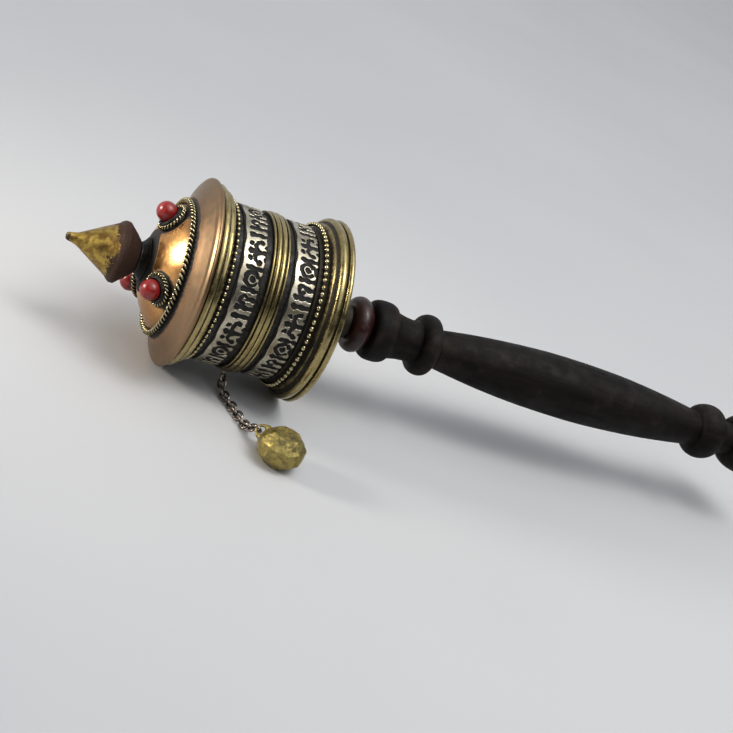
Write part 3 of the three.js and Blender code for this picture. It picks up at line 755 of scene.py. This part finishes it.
def make_band(node, turn):
    """A pierced sheet on a black ground; turn moves its pattern round by that many cells."""
    low, high = span(node)
    seat, face = SHELL_R + SEAM, reach(node)
    rows, steps, cut = 56, 1260, 0.55 * MM
    height, width = (high - low) / MM, TURN * face / MM
    x, y = np.meshgrid(np.arange(steps) * width / steps, np.linspace(0, height, rows))
    relief = band_relief((x + turn * width / CELLS) % width, y, width, height)
    points, wear = [], []
    for i in range(rows):
        for j in range(steps):
            angle = TURN * j / steps
            place = Vector((i * 0.11 + turn, 14 * math.cos(angle), 14 * math.sin(angle)))
            ripple = 0.04 * MM * noise.noise(place)
            r = face - 0.04 * MM - cut * (1 - relief[i, j]) + ripple
            points.append(polar(-(low + y[i, j] * MM), r, angle))
            wear.append(relief[i, j])
    for edge in (high, low):
        points += [polar(-edge, seat, TURN * j / steps) for j in range(steps)]
        wear += [0.0] * steps
    faces = grid_faces(rows + 2, steps, True, True)
    made(new_object(node + "_relief", points, faces, {"wear": wear}), node)


def make_drum():
    make_boss()
    make_base_disc()
    make_shell()
    make_base_rim()
    make_moulding()
    make_cornice()
    make_beads("bead_ring_lower", 76, 3)
    make_beads("bead_ring_upper", 76, 5)
    make_band("ornament_band_lower", 0.4)
    make_band("ornament_band_upper", 7.3)


# ---- Paper roll ----
def make_roll():
    low, high = span("roll_tube")
    inner, outer = BORE_R, reach("roll_tube")
    outline = [(inner, low), (outer, low), (outer, high), (inner, high)]
    make_turned("roll_tube", "roll_tube_drawn", outline, 48, 0.2, 2)
    low, high = span("paper_roll")
    start_r, end_r = outer + SEAM, reach("paper_roll")
    pitch, sheet = 0.62 * MM, 0.42 * MM
    turns = (end_r - sheet - start_r) / pitch
    steps = int(turns * 60)
    chance = random.Random(11)
    points = []
    for k in range(steps + 1):
        angle = TURN * turns * k / steps
        r = start_r + pitch * turns * k / steps
        if k % 60 == 0:
            drift = chance.uniform(-0.35, 0.35) * MM
        top = high - 0.4 * MM + drift * (0.5 - 0.5 * math.cos(TURN * (k % 60) / 60))
        for along, rr in ((low, r), (low, r + sheet), (top, r + sheet), (top, r)):
            points.append(polar(-along, rr, angle))
    faces = grid_faces(steps + 1, 4, False, True)
    faces += [(0, 1, 2, 3), tuple(4 * steps + k for k in (3, 2, 1, 0))]
    piece = new_object("paper_roll_wound", points, faces, {"wear": [0.5] * len(points)})
    piece.data.polygons.foreach_set("use_smooth", [False] * len(piece.data.polygons))
    made(piece, "paper_roll")


# ---- Lid ----
LID_WALL = 1.3 * MM
SKIRT_R = SHELL_R - SHELL_WALL - SEAM
DOME_BASE_R = SKIRT_R - SHELL_WALL - 2.4 * MM
DOME_CURVE_R = 32.9 * MM
DOME_FOOT = DRUM_TOP + 7.5 * MM


def dome_height(r):
    return DOME_FOOT + math.sqrt(DOME_CURVE_R**2 - r * r) - math.sqrt(DOME_CURVE_R**2 - DOME_BASE_R**2)


def stone_places():
    """(foot on the dome, outward normal) of each stone, from where its bezel stands."""
    centre = Vector((-(dome_height(0) - DOME_CURVE_R), 0, 0))
    places = []
    for k in range(STONES):
        low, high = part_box(f"bezel_{k + 1}")
        normal = ((low + high) / 2 - centre).normalized()
        places.append((centre + normal * DOME_CURVE_R, normal))
    return places


def make_lid():
    edge = reach("lid")
    brim_top, brim_foot = DRUM_TOP + 2.1 * MM, DOME_FOOT - 0.6 * MM
    middle_r, middle = (DOME_BASE_R + edge) / 2, brim_foot + (brim_top - brim_foot) * 0.58
    dome = [BORE_R + (DOME_BASE_R - BORE_R) * k / 30 for k in range(31)]
    outline = [(r, dome_height(r)) for r in dome]
    outline += [(DOME_BASE_R + 0.7 * MM, brim_foot + 0.05 * MM), (middle_r, middle + 0.1 * MM)]
    outline += offset(edge, brim_top, (-2.6, 0.55), (-1.0, 0.05), (-0.05, -0.7))
    outline += offset(edge, DRUM_TOP, (-0.02, 0.7), (-0.7, 0.02), (-1.9, 0.02), (-2.5, 1))
    skirt_in, skirt_top, skirt_foot = SKIRT_R - SHELL_WALL, middle - 0.3 * MM, DRUM_TOP - 4.4 * MM
    outline += [(middle_r, middle - LID_WALL), (SKIRT_R, skirt_top), (SKIRT_R, skirt_foot)]
    outline += [(skirt_in, skirt_foot), (skirt_in, skirt_top)]
    outline += [(r * 0.955, dome_height(r * 0.955) - LID_WALL) for r in reversed(dome[1:])]
    outline += [(BORE_R, dome_height(BORE_R) - LID_WALL)]

    def beaten(r, along, angle):
        """Sheet copper that was worked by hand: the brim waves a little, and the dome has soft dents."""
        p = polar(r / MM * 0.16, 2.2, angle)
        wave = 0.0016 * noise.noise(p) if r < edge - 0.5 * MM else 0.0
        return r * (1 + wave) + 0.02 * MM * noise.noise(p * 5) - 0.02 * MM

    piece = make_turned("lid", "lid_beaten", outline, 192, 0.5, 0.6, shape=beaten)
    co = np.array([v.co for v in piece.data.vertices])
    r = np.hypot(co[:, 1], co[:, 2]) / MM
    outside = -co[:, 0] > np.interp(r, [0, 23, 36], [0.276, 0.2745, 0.2685])
    foot = DOME_BASE_R / MM
    # Black patina beside the rope ring at the dome's foot, round each stone and round the neck; round the
    # neck it is partly a painted shadow and painted reflection of the finial on the dome.
    soot_and_painted_shade = np.exp(-(((r - foot - 1.2) / 2.2) ** 2)) * 1.05 + smoothstep(13.0, 10.0, r) * 1.2
    for place, _ in stone_places():
        away = np.linalg.norm(co - np.array(place), axis=1) / MM
        soot_and_painted_shade += 0.95 * np.exp(-((np.maximum(away - 5.2, 0) / 1.9) ** 2))
    soot_and_painted_shade = np.clip(np.where(outside, soot_and_painted_shade, 0.25), 0, 1)
    golden = np.where(outside, smoothstep(foot + 0.5, foot - 3, r), 0)
    dull = np.where(outside, smoothstep(foot + 2, foot + 6, r), 0.5)
    set_attributes(piece.data, {"soot_and_painted_shade": soot_and_painted_shade, "golden": golden, "dull": dull})


def twisted_ring(name, centre, axis, ring_r, strand_r, lobes):
    """Two strands twisted round each other into a ring. Each strand closes after lobes / 2 whole turns."""
    axis = axis.normalized()
    first_way = axis.orthogonal().normalized()
    second_way = axis.cross(first_way)
    lean, sides, steps = strand_r * 0.92, 8, lobes * 7
    points, wear, faces = [], [], []
    for strand in range(2):
        start = len(points)
        for j in range(steps):
            angle = TURN * j / steps
            out = math.cos(angle) * first_way + math.sin(angle) * second_way
            twist = lobes / 2 * angle + math.pi * strand
            core = centre + ring_r * out
            middle = core + lean * (math.cos(twist) * out + math.sin(twist) * axis)
            for p in circle(middle, out, axis, strand_r, sides):
                points.append(p)
                rise = (p - core).length / (lean + strand_r)
                wear.append(min(1.0, max(0.0, (rise - 0.70) / 0.30)))
        faces += grid_faces(steps, sides, True, True, start)
    return new_object(name, points, faces, {"wear": wear})


def make_rope():
    low, high = span("lid_rope_ring")
    wire_r = (high - low) / 2
    ring_r = reach("lid_rope_ring") - wire_r - 0.25 * MM
    centre = Vector((-(low + high) / 2 + 0.55 * MM, 0, 0))
    rope = twisted_ring("lid_rope_twisted", centre, Vector((1, 0, 0)), ring_r, wire_r * 0.66, 82)
    made(rope, "lid_rope_ring")


def make_neck():
    low, high = span("neck_collar")
    r = reach("neck_collar")
    outline = [(BORE_R, low - 0.2 * MM)]
    outline += offset(r, low, (2.6, -0.75), (1.5, -0.1), (0.6, 0.7), (0, 1.4)) + [(r, high), (BORE_R, high)]
    make_turned("neck_collar", "neck_collar_turned", outline, 64, 0.2, 0.5)


def oriented(piece, place, normal):
    """Stands a piece made about +Z on a place, with +Z along normal, and keeps its mesh in the row frame."""
    turn = Vector((0, 0, 1)).rotation_difference(normal).to_matrix().to_4x4()
    piece.data.transform(Matrix.Translation(place) @ turn)
    return piece


def upright(name, outline, steps, wear=None, scallops=0):
    """A piece turned about +Z from (radius, height) pairs; scallops ripples its lip."""
    top = max(h for _, h in outline)

    def shape(r, height, angle):
        lip = max(0.0, (height - 0.6 * top) / (0.4 * top)) if scallops else 0
        return r * (1 + 0.035 * lip * math.cos(scallops * angle))

    closed = outline[0][0] > 1e-7
    piece = turned(name, outline, steps, closed=closed, shape=shape, wear=wear)
    piece.data.transform(Matrix.Rotation(math.pi / 2, 4, "Y"))
    return piece


def make_stones():
    stone_r, stone_top, lip_r = 3.72 * MM, 7.5 * MM, 4.25 * MM
    cup = [(0, -0.5 * MM)] + offset(lip_r, 0, (1.4, -0.5), (0.9, 0.5), (0.5, 1.9), (0, 2.45))
    cup += offset(lip_r, 0, (-0.45, 2.3), (-0.4, 1)) + [(0, 0.2 * MM)]
    cup = densified(rounded(cup, 0.25 * MM, closed=False), 0.4 * MM, closed=False)
    ball = []
    for i in range(29):
        a = math.pi * i / 28
        ball.append((stone_r * math.sin(a) if 0 < i < 28 else 0, stone_top - stone_r * (1 + math.cos(a))))
    for k, (place, normal) in enumerate(stone_places()):
        bezel = oriented(upright(f"bezel_{k + 1}_raised", cup, 72, scallops=18), place, normal)
        made(bezel, f"bezel_{k + 1}")
        stone = oriented(upright(f"coral_{k + 1}_polished", ball, 56, wear=[0.5] * len(ball)), place, normal)
        made(stone, f"coral_stone_{k + 1}")
        foot = place + normal * 0.85 * MM
        wire = twisted_ring(f"bezel_{k + 1}_twisted", foot, normal, 5.35 * MM, 0.42 * MM, 26)
        made(wire, f"bezel_wire_{k + 1}")


# ---- Finial ----
def make_finial():
    low, high = span("finial")
    peak, socket_r = reach("finial"), ROD_R + 0.25 * MM
    shoulder, cone_low = low + 5.0 * MM, low + 7.0 * MM
    outline = [(0, low + 11 * MM), (socket_r, low + 11 * MM), (socket_r, low)]
    outline += offset(0, low, (6, 0), (6.5, 0.2), (8.6, 2.2))
    outline += offset(peak, shoulder, (-0.6, -0.2), (0, 0.4))
    outline += offset(peak, cone_low, (0, -0.4), (-0.5, 0.5))
    for k in range(1, 12):
        share = k / 12
        r = peak - 0.5 * MM + (2.0 * MM - peak) * share**0.96
        outline.append((r, cone_low + (high - 2.8 * MM - cone_low) * share))
    outline += offset(0, high, (1.75, -2.2), (1.5, -1.0), (1.15, -0.25), (0, -0.02))

    def hammered(r, along, angle):
        if r < socket_r + 0.3 * MM and along < low + 12 * MM:
            return r
        p = polar(along / MM * 0.18, 2.6, angle)
        flats = 0.007 * math.cos(7 * angle + 0.6) + 0.008 * math.cos(3 * angle)
        pits = 0.05 * MM * noise.noise(p * 5.3) * min(1, r / (3 * MM))
        return r * (0.985 + flats + 0.018 * noise.noise(p)) + pits

    def dark_ends(points):
        along = np.array([a for _, a in points])
        rise = smoothstep(cone_low - 1.0 * MM, cone_low + 5.5 * MM, along)
        tip = smoothstep(high - 3.4 * MM, high - 0.8 * MM, along)
        return 0.02 + 0.86 * rise - 0.60 * tip

    make_turned(
        "finial", "finial_hammered", outline, 128, 0.5, 0.35, closed=False, shape=hammered, wear=dark_ends
    )


# ---- Chain and weight ----
HOOK_JOINTS = [j for j in frame["joints"] if j["name"].endswith("_swing")]
HOOK = 0.575 * MM  # from a wire's centre to the place where the next wire bears on it


def oval_link(name, centre, direction, side, half_length, bend_r, seed, wire_r=0.5 * MM):
    """A closed oval of wire: direction is its length, side its width."""
    chance = random.Random(seed)
    flat = direction.cross(side).normalized()
    straight = half_length - bend_r
    steps, sides = 36, 12
    skew = chance.uniform(-0.03, 0.03) * bend_r
    points, wear = [], []
    for j in range(steps):
        a = TURN * (j + 0.5) / steps
        along = bend_r * math.cos(a) + math.copysign(straight, math.cos(a))
        core = centre + direction * along + side * (bend_r * math.sin(a)) + flat * skew * math.sin(2 * a)
        outward = (direction * math.cos(a) + side * math.sin(a)).normalized()
        for p in circle(core, outward, flat, wire_r, sides):
            points.append(p)
            wear.append(0.45 + 0.4 * (p - core).dot(outward) / wire_r + 0.15 * noise.noise(p * 900))
    return new_object(name, points, grid_faces(steps, sides, True, True), {"wear": wear})


def make_chain():
    places = [Vector(j["pos_m"]) for j in HOOK_JOINTS]
    axes = [Vector(j["axis"]).normalized() for j in HOOK_JOINTS]
    bend_r = 1.5 * MM
    for k in range(LINKS):
        node = f"chain_link_{k + 1}"
        low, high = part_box(node)
        centre = (low + high) / 2
        direction = (places[k + 1] - centre).normalized()
        half_length = (places[k + 1] - centre).length
        side = axes[k + 1]
        made(oval_link(f"{node}_wire", centre, direction, side, half_length, bend_r, 40 + k), node)
    make_eyelet(places[0], axes[0])
    make_weight(places[LINKS])


def make_eyelet(end, axis):
    out = Vector((0, end.y, end.z)).normalized()
    ring_r = 1.5 * MM
    centre = end - out * ring_r
    loop = oval_link("eyelet_ring", centre, out, axis, ring_r, ring_r, 31)
    foot_outline = [(0, 0)] + offset(0, 0, (1.5, 0), (1.35, 0.45), (0.7, 0.75), (0.45, 1.1), (0, 1.2))
    foot_outline = densified(rounded(foot_outline, 0.15 * MM, closed=False), 0.2 * MM, closed=False)
    foot = upright("eyelet_foot", foot_outline, 32)
    oriented(foot, centre - out * (ring_r + 0.75 * MM), out)
    made(join("chain_eyelet_wire", [loop, foot]), "chain_eyelet")


def join(name, pieces):
    """One object out of several."""
    bpy.ops.object.select_all(action="DESELECT")
    for piece in pieces:
        piece.select_set(True)
    bpy.context.view_layer.objects.active = pieces[0]
    bpy.ops.object.join()
    pieces[0].name = name
    return pieces[0]


def make_weight(hook):
    """A thick hammered bead, planes cut from a ball, with a lug that takes the last link."""
    low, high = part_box("chain_weight")
    radius, half = 8.7 * MM, (high.z - low.z) / 2 - 0.05 * MM
    loop_r, sides, sharp = 2 * MM, 9, 70
    middle = (low + high) / 2
    heading = Vector((middle.x - hook.x, middle.y - hook.y, 0)).normalized()
    level = Vector((0, 0, 1)).cross(heading)
    centre = Vector((hook.x, hook.y, middle.z)) + heading * (2 * loop_r + radius * 0.94 - 1.4 * MM)
    planes = [(Vector((0, 0, 1)), half), (Vector((0, 0, -1)), half)]
    for k in range(sides):
        a = TURN * (k + 0.5) / sides
        planes.append((math.cos(a) * heading + math.sin(a) * level, radius * 0.965))
        for lift in (1, -1):
            a = TURN * (k + 0.25 * lift) / sides
            around = math.cos(a) * heading + math.sin(a) * level
            planes.append(((around + Vector((0, 0, 0.95 * lift))).normalized(), radius * 0.885))
    ball = bmesh.new()
    bmesh.ops.create_icosphere(ball, subdivisions=6, radius=1)
    directions = [v.co.copy() for v in ball.verts]
    faces = [tuple(v.index for v in f.verts) for f in ball.faces]
    ball.free()
    stain_way = Vector((0.1, -0.25, 0.96))
    points, wear = [], []
    for p in directions:
        pull = sum(max(0.0, p.dot(n) * radius / d) ** sharp for n, d in planes) ** (1 / sharp)
        dent = noise.noise(p * 2.3) * 0.45 + noise.noise(p * 7.5) * 0.16 + noise.noise(p * 19) * 0.05
        q = centre + p * (radius / pull - 0.15 * MM + dent * 0.45 * MM)
        points.append(Vector((q.x, q.y, max(q.z, low.z + 0.02 * MM))))
        stain = math.exp(-(((p - stain_way).length / 0.28) ** 2))
        wear.append(0.62 + 0.6 * dent - 0.45 * stain)
    body = new_object("weight_body", points, faces, {"wear": wear})
    across = Matrix.Rotation(math.pi / 4, 3, heading) @ level
    loop = make_lug(hook + heading * (loop_r - 2 * HOOK), heading, across, loop_r)
    made(join("chain_weight_hammered", [body, loop]), "chain_weight")


def make_lug(centre, heading, across, ring_r):
    """A ring that is thin where the link hangs in it and thickens into the weight."""
    flat = heading.cross(across).normalized()
    steps, sides, thin, thick = 40, 14, 0.5 * MM, 1.5 * MM
    points, wear = [], []
    for j in range(steps):
        a = TURN * j / steps
        out = math.cos(a) * heading + math.sin(a) * across
        share = smoothstep(-0.35, 0.9, math.cos(a))
        wire_r = thin + (thick - thin) * float(share)
        shift = (wire_r - thin) * (1 - 0.4 * float(share))
        for p in circle(centre + (ring_r + shift) * out, out, flat, wire_r, sides):
            points.append(p)
            wear.append(0.6 + 0.3 * noise.noise(p * 700))
    return new_object("weight_lug", points, grid_faces(steps, sides, True, True), {"wear": wear})


# ---- Camera, light and floor ----
def place_camera():
    """A rolled view from the finial's side and above, with the handle running away to the right."""
    azimuth, elevation, roll = math.radians(-25.08), math.radians(25.0), math.radians(27.67)
    lens, distance, brim_right, brim_up = 68.76, 500.34 * MM, -66.26 * MM, 34.29 * MM
    level = Vector((math.cos(azimuth), math.sin(azimuth), 0))
    ahead = Vector((-math.sin(azimuth), math.cos(azimuth), 0))
    forward = ahead * math.cos(elevation) - Vector((0, 0, math.sin(elevation)))
    right = Matrix.Rotation(-roll, 3, forward) @ level
    up = right.cross(forward)
    brim = Vector((-(DRUM_TOP + 2.5 * MM), 0, 0))
    data = bpy.data.cameras.new("camera")
    data.lens, data.sensor_width = lens, 36
    data.clip_start, data.clip_end = 0.01, 100
    camera = bpy.data.objects.new("camera", data)
    bpy.context.scene.collection.objects.link(camera)
    turn = Matrix((right, up, -forward)).transposed().to_4x4()
    eye = brim - forward * distance - right * brim_right - up * brim_up
    camera.matrix_world = Matrix.Translation(eye) @ turn
    bpy.context.scene.camera = camera


def softbox(name, direction, distance, width, height, power, colour, spread=180):
    """A rectangular lamp that points at the middle of the drum."""
    data = bpy.data.lights.new(name, "AREA")
    data.shape, data.size, data.size_y = "RECTANGLE", width, height
    data.energy, data.color = power, colour
    data.spread = math.radians(spread)
    lamp = bpy.data.objects.new(name, data)
    lamp.visible_camera = False
    bpy.context.scene.collection.objects.link(lamp)
    aim = Vector((-(DRUM_TOP - 20 * MM), 0, 0))
    way = Vector(direction).normalized()
    turn = way.to_track_quat("Z", "Y").to_matrix().to_4x4()
    lamp.matrix_world = Matrix.Translation(aim + way * distance) @ turn


def light_studio():
    """A wide lamp overhead, a compact one beyond the finial, a soft ceiling, and a room that is
    bright behind the wheel and dark in front of it."""
    softbox("overhead_box", (0.31, -0.22, 0.93), 1.7, 0.66, 0.90, 14, (1.0, 0.985, 0.95))
    softbox("left_box", (-0.96, 0.12, 0.265), 0.6, 0.15, 0.15, 0.27, (1.0, 0.93, 0.82), 50)
    daylight = (0.95, 0.97, 1.0)
    sky = bpy.data.lights.new("ceiling", "SUN")
    sky.energy, sky.angle, sky.color = 1.5, math.radians(80), daylight
    ceiling = bpy.data.objects.new("ceiling", sky)
    ceiling.rotation_euler = (math.radians(14), math.radians(12), 0)
    bpy.context.scene.collection.objects.link(ceiling)
    world = bpy.data.worlds.new("studio")
    world.use_nodes = True
    nodes, links = world.node_tree.nodes, world.node_tree.links
    place = nodes.new("ShaderNodeTexCoord")
    parts = nodes.new("ShaderNodeSeparateXYZ")
    links.new(place.outputs["Generated"], parts.inputs["Vector"])
    wall = nodes.new("ShaderNodeMapRange")
    wall.interpolation_type = "SMOOTHSTEP"
    for socket, value in (("From Min", -0.25), ("From Max", 0.75), ("To Min", 0.07), ("To Max", 0.66)):
        wall.inputs[socket].default_value = value
    links.new(parts.outputs["Y"], wall.inputs["Value"])
    background = nodes["Background"]
    background.inputs["Color"].default_value = (*daylight, 1)
    links.new(wall.outputs["Result"], background.inputs["Strength"])
    bpy.context.scene.world = world
    bpy.context.scene.view_settings.view_transform = "Standard"


def lay_floor():
    half = 12.0
    points = [(half * x, half * y, FLOOR_Z) for x, y in ((-1, -1), (1, -1), (1, 1), (-1, 1))]
    mesh = bpy.data.meshes.new("floor")
    mesh.from_pydata(points, [], [(0, 1, 2, 3)])
    floor = bpy.data.objects.new("floor", mesh)
    bpy.context.scene.collection.objects.link(floor)
    floor.data.materials.append(floor_paint())


place_camera()
light_studio()
lay_floor()
make_handle()
make_rod()
make_washer()
make_drum()
make_roll()
make_lid()
make_rope()
make_neck()
make_stones()
make_finial()
make_chain()
